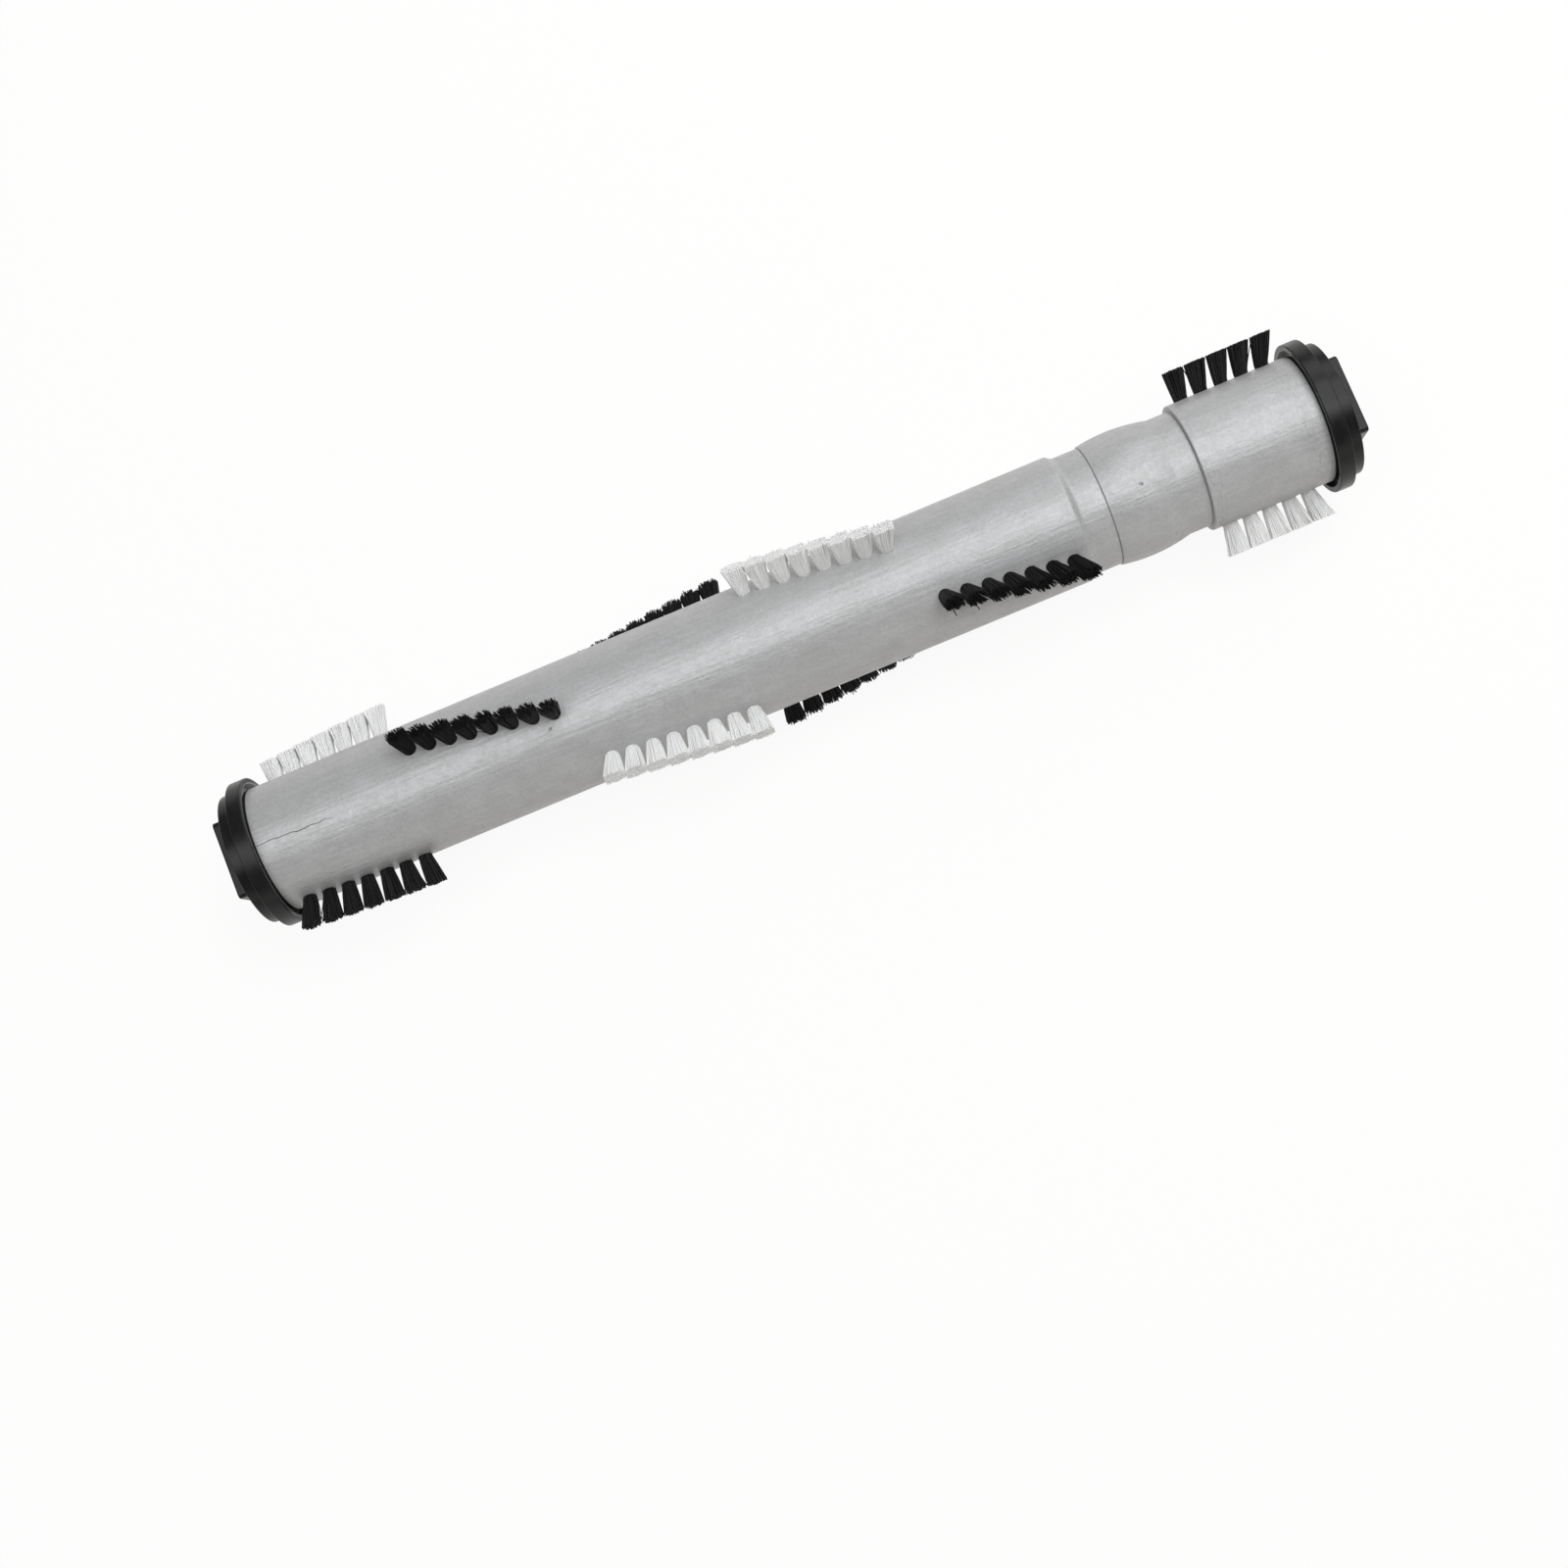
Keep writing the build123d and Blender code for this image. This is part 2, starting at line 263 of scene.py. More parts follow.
def calc(tree, operation, *values):
    return add_node(tree, "ShaderNodeMath", dict(enumerate(values)), operation=operation).outputs[0]


def vector_calc(tree, operation, *values, **named):
    inputs = dict(enumerate(values))
    inputs.update(named)
    return add_node(tree, "ShaderNodeVectorMath", inputs, operation=operation).outputs[0]


def ramp(tree, value, low, high, to_low=0.0, to_high=1.0):
    """A smooth step of a value from one level to another."""
    made = add_node(
        tree, "ShaderNodeMapRange", {0: value, 1: low, 2: high, 3: to_low, 4: to_high},
        interpolation_type="SMOOTHSTEP",
    )
    return made.outputs[0]


def mixed(tree, share, first, second):
    made = add_node(tree, "ShaderNodeMix", {0: share, 6: first, 7: second}, data_type="RGBA")
    return made.outputs[2]


def new_group(name, inputs):
    """An empty shader group with named inputs, its input node and the socket that it puts out."""
    group = bpy.data.node_groups.new(name, "ShaderNodeTree")
    for label, kind, value in inputs:
        socket = group.interface.new_socket(name=label, in_out="INPUT", socket_type=kind)
        if value is not None:
            socket.default_value = value
    group.interface.new_socket(name="Value", in_out="OUTPUT", socket_type="NodeSocketFloat")
    entry = group.nodes.new("NodeGroupInput")
    leave = group.nodes.new("NodeGroupOutput")
    return group, entry.outputs, leave.inputs[0]


def use_group(tree, group, **inputs):
    """A group placed in a tree. An input is named here with underscores for its spaces."""
    made = tree.nodes.new("ShaderNodeGroup")
    made.node_tree = group
    for key, value in inputs.items():
        socket = made.inputs[key.replace("_", " ").capitalize()]
        if isinstance(value, bpy.types.NodeSocket):
            tree.links.new(value, socket)
        else:
            socket.default_value = value
    return made.outputs[0]


VECTOR, FLOAT = "NodeSocketVector", "NodeSocketFloat"

# Cloudy unevenness, as painted, moulded and plated surfaces have
CLOUD_RANGE = (0.32, 0.68)
mottle, entry, leave = new_group("mottle", [
    ("Place", VECTOR, None), ("Features per metre", FLOAT, 100.0),
    ("Low", FLOAT, 0.0), ("High", FLOAT, 1.0),
])
cloud = add_node(mottle, "ShaderNodeTexNoise", {
    "Vector": entry["Place"], "Scale": entry["Features per metre"], "Detail": 4.0, "Roughness": 0.55,
}).outputs["Fac"]
mottle.links.new(ramp(mottle, cloud, *CLOUD_RANGE, entry["Low"], entry["High"]), leave)

# Fine skin: the small bumps of sprayed paint, mould texture and felt
SMALLER_BUMPS = 3.1
SMALLER_BUMP_HEIGHT = 0.35
skin, entry, leave = new_group("fine skin", [
    ("Place", VECTOR, None), ("Features per metre", FLOAT, 1000.0), ("Height", FLOAT, 1.0),
])
coarse = add_node(skin, "ShaderNodeTexNoise", {
    "Vector": entry["Place"], "Scale": entry["Features per metre"], "Detail": 2.0,
}).outputs["Fac"]
small = add_node(skin, "ShaderNodeTexNoise", {
    "Vector": entry["Place"], "Detail": 1.0,
    "Scale": calc(skin, "MULTIPLY", entry["Features per metre"], SMALLER_BUMPS),
}).outputs["Fac"]
both = calc(skin, "MULTIPLY_ADD", small, SMALLER_BUMP_HEIGHT, coarse)
skin.links.new(calc(skin, "MULTIPLY", both, entry["Height"]), leave)

# Grain, grinding lines and rub marks: noise stretched by its scale in each direction
STREAK_RANGE = (0.35, 0.65)
streaks, entry, leave = new_group("streaks", [
    ("Place", VECTOR, None), ("Stretch", VECTOR, None), ("Low", FLOAT, 0.0), ("High", FLOAT, 1.0),
])
stretched = vector_calc(streaks, "MULTIPLY", entry["Place"], entry["Stretch"])
lines = add_node(streaks, "ShaderNodeTexNoise", {
    "Vector": stretched, "Scale": 1.0, "Detail": 3.0,
}).outputs["Fac"]
streaks.links.new(ramp(streaks, lines, *STREAK_RANGE, entry["Low"], entry["High"]), leave)

# A band round the axis, for the dirt in a groove and the marks rubbed near an edge
band, entry, leave = new_group("band", [
    ("Place", VECTOR, None), ("Centre", FLOAT, 0.0), ("Half width", FLOAT, 0.001),
])
along = add_node(band, "ShaderNodeSeparateXYZ", {0: entry["Place"]}).outputs["X"]
away = calc(band, "ABSOLUTE", calc(band, "SUBTRACT", along, entry["Centre"]))
band.links.new(ramp(band, away, 0.0, entry["Half width"], 1.0, 0.0), leave)

# A line scratched or cracked along the top of the roller. It wanders a little, starts at once
# and fades out.
WANDERS_PER_METRE = 300.0
SCRATCH_START = (-0.2 * MM, 0.2 * MM)
SCRATCH_FADE = (-0.5 * MM, 6 * MM)
scratch, entry, leave = new_group("scratch", [
    ("Place", VECTOR, None), ("Start", FLOAT, 0.0), ("End", FLOAT, 0.01), ("Side", FLOAT, 0.0),
    ("Slope", FLOAT, 0.0), ("Half width", FLOAT, 0.0001), ("Wander", FLOAT, 0.0001),
])
spot = add_node(scratch, "ShaderNodeSeparateXYZ", {0: entry["Place"]}).outputs
sway = add_node(scratch, "ShaderNodeTexNoise", {
    "Vector": entry["Place"], "Scale": WANDERS_PER_METRE, "Detail": 3.0,
}).outputs["Fac"]
bend = calc(scratch, "MULTIPLY", calc(scratch, "SUBTRACT", sway, 0.5), entry["Wander"])
run = calc(scratch, "SUBTRACT", spot["X"], entry["Start"])
middle = calc(scratch, "ADD", calc(scratch, "MULTIPLY_ADD", run, entry["Slope"], entry["Side"]), bend)
away = calc(scratch, "ABSOLUTE", calc(scratch, "SUBTRACT", spot["Y"], middle))
on_line = ramp(scratch, away, 0.0, entry["Half width"], 1.0, 0.0)
begun = ramp(scratch, run, *SCRATCH_START)
ended = ramp(scratch, calc(scratch, "SUBTRACT", entry["End"], spot["X"]), *SCRATCH_FADE)
on_top = ramp(scratch, spot["Z"], axis_height, axis_height + 1 * MM)
inside = calc(scratch, "MULTIPLY", calc(scratch, "MULTIPLY", begun, ended), on_top)
scratch.links.new(calc(scratch, "MULTIPLY", on_line, inside), leave)

# A dent or chip at one place, with a ragged edge round a solid middle
CHIP_MIDDLE = 0.4
CHIP_RAGGED = (0.6, 1.6)
chip, entry, leave = new_group("chip", [
    ("Place", VECTOR, None), ("Centre", VECTOR, None), ("Radius", FLOAT, 0.0005),
])
chipping = add_node(chip, "ShaderNodeTexNoise", {
    "Vector": entry["Place"], "Scale": 2500.0, "Detail": 2.0,
}).outputs["Fac"]
gap = add_node(chip, "ShaderNodeVectorMath", {
    0: entry["Place"], 1: entry["Centre"],
}, operation="DISTANCE").outputs["Value"]
ragged_gap = calc(chip, "MULTIPLY", gap, ramp(chip, chipping, 0.3, 0.7, *CHIP_RAGGED))
solid_radius = calc(chip, "MULTIPLY", entry["Radius"], CHIP_MIDDLE)
chip.links.new(ramp(chip, ragged_gap, solid_radius, entry["Radius"], 1.0, 0.0), leave)


def new_material(name):
    """A material with its own shader, and the object's coordinates."""
    material = bpy.data.materials.new(name)
    material.use_nodes = True
    tree = material.node_tree
    shader = tree.nodes["Principled BSDF"]
    place = tree.nodes.new("ShaderNodeTexCoord").outputs["Object"]
    return material, tree, shader, place


def bump(tree, shader, height, distance, strength=1.0):
    made = add_node(tree, "ShaderNodeBump", {"Height": height, "Distance": distance, "Strength": strength})
    tree.links.new(made.outputs[0], shader.inputs["Normal"])


SILVER = (0.44, 0.44, 0.447, 1)
SILVER_SHADE = (0.36, 0.36, 0.355, 1)
DIRT = (0.12, 0.12, 0.115, 1)
CRACK_DARK = (0.05, 0.045, 0.04, 1)
# Near black for the roller's ends inside the caps: grime, and painted shade under the cap's lip
GRIME_AND_SHADE_IN_CUP = (0.012, 0.012, 0.012, 1)
METAL_IN_PAINT = 0.22
GRAIN_SHARE = 0.25
CLOUD_SHARE = 0.35
FLECK_SHARE = 0.55
silver_paint, tree, shader, place = new_material("silver_paint")
shader.inputs["Metallic"].default_value = METAL_IN_PAINT
grain = use_group(tree, streaks, place=place, stretch=(60, 900, 900))
cloudy = use_group(tree, mottle, place=place, features_per_metre=160)
fleck = use_group(tree, mottle, place=place, features_per_metre=1300)
tone = calc(tree, "MULTIPLY_ADD", grain, GRAIN_SHARE, calc(tree, "MULTIPLY", cloudy, CLOUD_SHARE))
tone = calc(tree, "MULTIPLY_ADD", fleck, FLECK_SHARE, tone)
colour = mixed(tree, tone, SILVER, SILVER_SHADE)

# Dirt in both grooves, marks rubbed round the block's two ends, grime and painted shade on the roller's
# ends in the caps, and specks
DIRT_SHARE = 0.2
DIRT_HALF_WIDTH = 0.25 * MM
RUBBED_BANDS = [(149.0 * MM, 5.0 * MM), (BLOCK_START + 2.0 * MM, 3.0 * MM)]
RUBBED_SHARE = 0.22
SPECK_SHARE = 0.3
dirt = calc(tree, "MAXIMUM", *[
    use_group(tree, band, place=place, centre=groove, half_width=DIRT_HALF_WIDTH)
    for groove in (CROWN_START, BLOCK_START - GROOVE_HALF)
])
colour = mixed(tree, calc(tree, "MULTIPLY", dirt, DIRT_SHARE), colour, DIRT)
rubbed = calc(tree, "MAXIMUM", *[
    use_group(tree, band, place=place, centre=centre, half_width=half_width)
    for centre, half_width in RUBBED_BANDS
])
marks = use_group(tree, streaks, place=place, stretch=(2400, 330, 330))
scuffed = calc(tree, "MULTIPLY", ramp(tree, marks, 0.6, 1.0, 0.0, RUBBED_SHARE), rubbed)
colour = mixed(tree, scuffed, colour, DIRT)
from_middle = calc(tree, "ABSOLUTE", add_node(tree, "ShaderNodeSeparateXYZ", {0: place}).outputs["X"])
# The roller's ends inside the caps are painted near black: grime, and painted shade where the cap's lip
# keeps the light off
covered_shade_and_grime = ramp(tree, from_middle, CAP_MOUTH - 0.25 * MM, CAP_MOUTH + 0.1 * MM)
colour = mixed(tree, covered_shade_and_grime, colour, GRIME_AND_SHADE_IN_CUP)
specks = add_node(tree, "ShaderNodeTexNoise", {"Vector": place, "Scale": 1500.0, "Detail": 1.0})
speck_share = ramp(tree, specks.outputs["Fac"], 0.68, 0.78, 0.0, SPECK_SHARE)
colour = mixed(tree, speck_share, colour, DIRT)

# The crack at the left end, a nick left of the middle and a pit in the belt seat
NICK_PLACE = (-67.3 * MM, -2.07 * MM, axis_height + 17.9 * MM)
PIT_PLACE = (102.4 * MM, -2.18 * MM, axis_height + 17.8 * MM)
CHIP_RADIUS = 0.5 * MM
NICK_SHARE = 0.75
DAMAGE_SHARE = 0.7
crack = use_group(
    tree, scratch, place=place, start=-152.8 * MM, end=-129 * MM, side=-0.66 * MM, slope=-0.0326,
    half_width=0.16 * MM, wander=1.3 * MM,
)
nick = use_group(tree, chip, place=place, centre=NICK_PLACE, radius=CHIP_RADIUS)
pit = use_group(tree, chip, place=place, centre=PIT_PLACE, radius=CHIP_RADIUS)
chips = calc(tree, "MAXIMUM", calc(tree, "MULTIPLY", nick, NICK_SHARE), pit)
damage = calc(tree, "MAXIMUM", crack, chips)
colour = mixed(tree, calc(tree, "MULTIPLY", damage, DAMAGE_SHARE), colour, CRACK_DARK)
tree.links.new(colour, shader.inputs["Base Color"])

GRAIN_RELIEF = -0.5
DAMAGE_RELIEF = -2.0
RELIEF_DEPTH = 0.1 * MM
RELIEF_STRENGTH = 0.75
roughness = use_group(tree, mottle, place=place, features_per_metre=520, low=0.34, high=0.48)
tree.links.new(roughness, shader.inputs["Roughness"])
peel = use_group(tree, skin, place=place, features_per_metre=1100)
relief = calc(tree, "MULTIPLY_ADD", grain, GRAIN_RELIEF, peel)
relief = calc(tree, "MULTIPLY_ADD", damage, DAMAGE_RELIEF, relief)
bump(tree, shader, relief, RELIEF_DEPTH, RELIEF_STRENGTH)

RAW_WOOD = (0.50, 0.33, 0.18, 1)
RAW_WOOD_DARK = (0.30, 0.18, 0.09, 1)
raw_wood, tree, shader, place = new_material("raw_wood")
growth_rings = use_group(tree, streaks, place=place, stretch=(30, 1100, 1100))
tree.links.new(mixed(tree, growth_rings, RAW_WOOD, RAW_WOOD_DARK), shader.inputs["Base Color"])
shader.inputs["Roughness"].default_value = 0.8
bump(tree, shader, growth_rings, 0.08 * MM)

roller_rings = [tuple(point) for point in rounded_outline(roller_corners)]
roller = new_piece("roller", ring_mesh("roller", roller_rings, ROLLER_SIDES, closed=True))
roller.data.materials.append(silver_paint)
roller.data.materials.append(raw_wood)
drills.data.materials.append(raw_wood)
FLAT_ACROSS = 0.99
AT_END = 0.1 * MM
for face in roller.data.polygons:
    if abs(face.normal.x) > FLAT_ACROSS and abs(face.center.x) > roller_end - AT_END:
        face.material_index = 1
cut = roller.modifiers.new("Drilled holes", "BOOLEAN")
cut.operation = "DIFFERENCE"
cut.solver = "EXACT"
cut.material_mode = "TRANSFER"
cut.object = drills
keep_result(roller)
bpy.data.objects.remove(drills)
smooth_shading(roller)
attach(roller, "roller")
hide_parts("roller_core")

# Bristle tufts
# Bundles of nylon bristle, pushed into the drilled holes by a tufting machine and trimmed to one
# height. The black ones stand apart and are a little ragged. The white ones look smooth, are
# pressed square where their neighbours meet them, and splay until their tips touch.
BRISTLE_RADIUS = {"black": 0.13 * MM, "white": 0.175 * MM}
WANDER = {"black": 0.14 * MM, "white": 0.06 * MM}
BRISTLE_SIDES = 4
BRISTLES_PER_TUFT = {"black": 190, "white": 240}
BRISTLE_SEED = 7
TUFT_HEIGHT = 8.47 * MM
SUNK = 1.6 * MM
STEM_RADIUS = 1.68 * MM
TIP_HALF_WIDTH = {"black": 2.1 * MM, "white": 1.85 * MM}
PITCH_SHARE = {"black": 0.52, "white": 0.51}
TIP_SQUARENESS = {"black": 0.35, "white": 0.75}
STRAY = {"black": 0.015, "white": 0.01}
CLUMPING = {"black": 0.25, "white": 0.05}
# Two groups whose tips lean further to the right than the CAD tufts do
FURTHER_OUT = {"tufts_black_5": 1.2 * MM, "tufts_black_6": 0.9 * MM}
RAGGEDNESS = {"black": 0.05, "white": 0.03}
SPLAY_POWER = {"black": 0.7, "white": 0.6}
POINTS_ALONG = 5
LOOSE_SHARE = 0.2
STRAY_REACH = 1.0 * MM
STRAY_RANGE = (0.3, 1.6)
FLOOR_CLEARANCE = 0.15 * MM
GOLDEN_TURN = math.pi * (3 - math.sqrt(5))

bristles = bpy.data.node_groups.new("bristle rows", "GeometryNodeTree")
bristle_inputs = [
    ("Tufts", "NodeSocketGeometry"), ("Bristles per tuft", "NodeSocketInt"), ("Bristle radius", FLOAT),
    ("Height", FLOAT), ("Sunk", FLOAT), ("Stem radius", FLOAT), ("Tip half length", FLOAT),
    ("Tip half width", FLOAT), ("Tip squareness", FLOAT), ("Splay power", FLOAT), ("Raggedness", FLOAT),
    ("Stray", FLOAT), ("Wander", FLOAT), ("Clumping", FLOAT), ("Seed", "NodeSocketInt"),
    ("Material", "NodeSocketMaterial"),
]
for label, kind in bristle_inputs:
    bristles.interface.new_socket(name=label, in_out="INPUT", socket_type=kind)
bristles.interface.new_socket(name="Bristles", in_out="OUTPUT", socket_type="NodeSocketGeometry")
given = bristles.nodes.new("NodeGroupInput").outputs


def random_value(low, high, offset):
    """A random number for each bristle, from the tree's seed."""
    made = add_node(bristles, "FunctionNodeRandomValue", {
        2: low, 3: high, "Seed": calc(bristles, "ADD", given["Seed"], offset),
    }, data_type="FLOAT")
    return made.outputs[1]


def either_way(amount, offset):
    """A random share of an amount, to one side or the other."""
    return calc(bristles, "MULTIPLY", random_value(-1.0, 1.0, offset), amount)


def attribute(name, kind):
    made = add_node(bristles, "GeometryNodeInputNamedAttribute", {"Name": name}, data_type=kind)
    return made.outputs[0]


# Each tuft becomes its bristles, spread over its round hole as the seeds of a sunflower are
copies = add_node(bristles, "GeometryNodeDuplicateElements", {
    "Geometry": given["Tufts"], "Amount": given["Bristles per tuft"],
}, domain="POINT")
number = copies.outputs["Duplicate Index"]
share = calc(bristles, "DIVIDE", calc(bristles, "ADD", number, 0.5), given["Bristles per tuft"])
reach = calc(bristles, "SQRT", share)
clumps = either_way(given["Clumping"], 1)
bearing = calc(bristles, "MULTIPLY_ADD", number, GOLDEN_TURN, clumps)
loose = calc(bristles, "MULTIPLY", given["Clumping"], LOOSE_SHARE)
towards_x, towards_y = calc(bristles, "COSINE", bearing), calc(bristles, "SINE", bearing)
across_x = calc(bristles, "MULTIPLY_ADD", reach, towards_x, either_way(loose, 2))
across_y = calc(bristles, "MULTIPLY_ADD", reach, towards_y, either_way(loose, 3))

# Neighbours press a tuft's tip square, its cut is a little ragged, and a few bristles stray
longest = calc(bristles, "MAXIMUM", *[
    calc(bristles, "ABSOLUTE", towards) for towards in (towards_x, towards_y)
])
to_square = calc(bristles, "SUBTRACT", calc(bristles, "DIVIDE", 1.0, longest), 1.0)
corner = calc(bristles, "MULTIPLY", to_square, given["Tip squareness"])
cut_short = calc(bristles, "MULTIPLY", random_value(0.0, 1.0, 4), given["Raggedness"])
is_stray = calc(bristles, "LESS_THAN", random_value(0.0, 1.0, 5), given["Stray"])
stray_size = calc(bristles, "MULTIPLY", is_stray, STRAY_REACH)


def bent(across, stray_offset, wander_offset):
    """How far a bristle's tip bends aside."""
    outwards = calc(bristles, "MULTIPLY", across, random_value(*STRAY_RANGE, stray_offset))
    stray = calc(bristles, "MULTIPLY", outwards, stray_size)
    return calc(bristles, "MULTIPLY_ADD", random_value(-1.0, 1.0, wander_offset), given["Wander"], stray)


bend_x, bend_y = bent(across_x, 6, 7), bent(across_y, 8, 9)

kept = bristles.nodes.new("GeometryNodeCaptureAttribute")
kept.domain = "POINT"
captured = {}
for label, kind, source in (
    ("Mouth", "VECTOR", bristles.nodes.new("GeometryNodeInputPosition").outputs[0]),
    ("Outwards", "VECTOR", attribute("outwards", "FLOAT_VECTOR")),
    ("Lean", "FLOAT", attribute("lean", "FLOAT")),
    ("Across X", "FLOAT", across_x), ("Across Y", "FLOAT", across_y),
    ("Bend X", "FLOAT", bend_x), ("Bend Y", "FLOAT", bend_y), ("Cut short", "FLOAT", cut_short),
    ("Corner", "FLOAT", corner),
):
    kept.capture_items.new(kind, label)
    bristles.links.new(source, kept.inputs[label])
    captured[label] = kept.outputs[label]
bristles.links.new(copies.outputs["Geometry"], kept.inputs["Geometry"])

# One bristle is a line of a few points, and each of its points then moves to its place
straight = add_node(bristles, "GeometryNodeResampleCurve", {
    "Curve": bristles.nodes.new("GeometryNodeCurvePrimitiveLine").outputs[0], "Count": POINTS_ALONG,
})
placed = add_node(bristles, "GeometryNodeInstanceOnPoints", {
    "Points": kept.outputs["Geometry"], "Instance": straight.outputs[0],
})
real = add_node(bristles, "GeometryNodeRealizeInstances", {"Geometry": placed.outputs[0]})
part_way = bristles.nodes.new("GeometryNodeSplineParameter").outputs["Factor"]
full = calc(bristles, "MULTIPLY", given["Height"], calc(bristles, "SUBTRACT", 1.0, captured["Cut short"]))
foot = calc(bristles, "MULTIPLY", given["Sunk"], -1.0)
rise = calc(bristles, "MULTIPLY_ADD", part_way, calc(bristles, "ADD", full, given["Sunk"]), foot)
above = calc(bristles, "MAXIMUM", calc(bristles, "DIVIDE", rise, given["Height"]), 0.0)
above_squared = calc(bristles, "MULTIPLY", above, above)
opened = calc(bristles, "POWER", above, given["Splay power"])
squared = calc(bristles, "MULTIPLY_ADD", captured["Corner"], above, 1.0)


def sideways(half_tip, across, bend):
    """How far a bristle lies from the tuft's middle line, in its hole and as it splays."""
    splay = calc(bristles, "SUBTRACT", half_tip, given["Stem radius"])
    reach_here = calc(bristles, "MULTIPLY_ADD", splay, opened, given["Stem radius"])
    bent_here = calc(bristles, "MULTIPLY", bend, above_squared)
    across_here = calc(bristles, "MULTIPLY", across, squared)
    return calc(bristles, "MULTIPLY_ADD", across_here, reach_here, bent_here)


beside_x = sideways(given["Tip half length"], captured["Across X"], captured["Bend X"])
side_x = calc(bristles, "MULTIPLY_ADD", captured["Lean"], above, beside_x)
side_y = sideways(given["Tip half width"], captured["Across Y"], captured["Bend Y"])
round_axis = vector_calc(bristles, "CROSS_PRODUCT", captured["Outwards"], (1, 0, 0))
moved_to = captured["Mouth"]
for move in (
    vector_calc(bristles, "SCALE", captured["Outwards"], Scale=rise),
    vector_calc(bristles, "SCALE", round_axis, Scale=side_y),
    add_node(bristles, "ShaderNodeCombineXYZ", {"X": side_x}).outputs[0],
):
    moved_to = vector_calc(bristles, "ADD", moved_to, move)
parts = add_node(bristles, "ShaderNodeSeparateXYZ", {0: moved_to}).outputs
above_floor = calc(bristles, "MAXIMUM", parts["Z"], FLOOR_CLEARANCE)
moved_to = add_node(bristles, "ShaderNodeCombineXYZ", {
    "X": parts["X"], "Y": parts["Y"], "Z": above_floor,
}).outputs[0]
moved = add_node(bristles, "GeometryNodeSetPosition", {"Geometry": real.outputs[0], "Position": moved_to})
section = add_node(bristles, "GeometryNodeCurvePrimitiveCircle", {
    "Resolution": BRISTLE_SIDES, "Radius": given["Bristle radius"],
})
solid = add_node(bristles, "GeometryNodeCurveToMesh", {
    "Curve": moved.outputs[0], "Profile Curve": section.outputs[0], "Fill Caps": True,
})
joined = add_node(bristles, "GeometryNodeRealizeInstances", {"Geometry": solid.outputs[0]})
finished = add_node(bristles, "GeometryNodeSetMaterial", {
    "Geometry": joined.outputs[0], "Material": given["Material"],
})
bristles.links.new(finished.outputs[0], bristles.nodes.new("NodeGroupOutput").inputs[0])

# Dark and light colour, roughness, shine, and how much light glows through
BRISTLE_FINISH = {
    "black": ((0.003, 0.003, 0.0032, 1), (0.008, 0.008, 0.0083, 1), 0.48, 0.28, 0.0),
    "white": ((0.88, 0.88, 0.865, 1), (0.92, 0.92, 0.91, 1), 0.6, 0.3, 0.5),
}
GLOW_DEPTH = 1.0 * MM
FIBRE_RELIEF = 0.004 * MM
bristle_materials = {}
for colour_name, (dark, light, roughness, shine, glow_through) in BRISTLE_FINISH.items():
    material, tree, shader, place = new_material(colour_name + "_bristle")
    fibre = use_group(tree, mottle, place=place, features_per_metre=2600)
    tree.links.new(mixed(tree, fibre, dark, light), shader.inputs["Base Color"])
    worn = use_group(
        tree, mottle, place=place, features_per_metre=900, low=roughness - 0.06, high=roughness + 0.1,
    )
    tree.links.new(worn, shader.inputs["Roughness"])
    shader.inputs["Specular IOR Level"].default_value = shine
    shader.inputs["Subsurface Weight"].default_value = glow_through
    shader.inputs["Subsurface Radius"].default_value = (1.0, 1.0, 1.0)
    shader.inputs["Subsurface Scale"].default_value = GLOW_DEPTH
    bump(tree, shader, fibre, FIBRE_RELIEF)
    bristle_materials[colour_name] = material

SEED_STEP = 20
input_ids = {
    item.name: item.identifier for item in bristles.interface.items_tree if item.in_out == "INPUT"
}
for order, (name, tufts) in enumerate(sorted(tufts_of.items())):
    colour_name = "black" if "black" in name else "white"
    pitch = (tufts[-1][0].x - tufts[0][0].x) / (len(tufts) - 1)
    mesh = bpy.data.meshes.new(name)
    mesh.from_pydata([mouth for mouth, outwards, lean in tufts], [], [])
    directions = mesh.attributes.new("outwards", "FLOAT_VECTOR", "POINT")
    directions.data.foreach_set("vector", [part for mouth, outwards, lean in tufts for part in outwards])
    leans = mesh.attributes.new("lean", "FLOAT", "POINT")
    further = FURTHER_OUT.get(name, 0.0)
    leans.data.foreach_set("value", [lean + further for mouth, outwards, lean in tufts])
    rows = new_piece(name.replace("tufts", "bristles"), mesh)
    modifier = rows.modifiers.new("Bristle rows", "NODES")
    modifier.node_group = bristles
    values = {
        "Bristles per tuft": BRISTLES_PER_TUFT[colour_name],
        "Bristle radius": BRISTLE_RADIUS[colour_name],
        "Height": TUFT_HEIGHT,
        "Sunk": SUNK,
        "Stem radius": STEM_RADIUS,
        "Tip half length": pitch * PITCH_SHARE[colour_name],
        "Tip half width": TIP_HALF_WIDTH[colour_name],
        "Tip squareness": TIP_SQUARENESS[colour_name],
        "Splay power": SPLAY_POWER[colour_name],
        "Raggedness": RAGGEDNESS[colour_name],
        "Stray": STRAY[colour_name],
        "Wander": WANDER[colour_name],
        "Clumping": CLUMPING[colour_name],
        "Seed": BRISTLE_SEED + SEED_STEP * order,
        "Material": bristle_materials[colour_name],
    }
    for label, value in values.items():
        modifier[input_ids[label]] = value
    keep_result(rows)
    rows.data.polygons.foreach_set("use_smooth", [True] * len(rows.data.polygons))
    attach(rows, "roller")
    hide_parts(name)

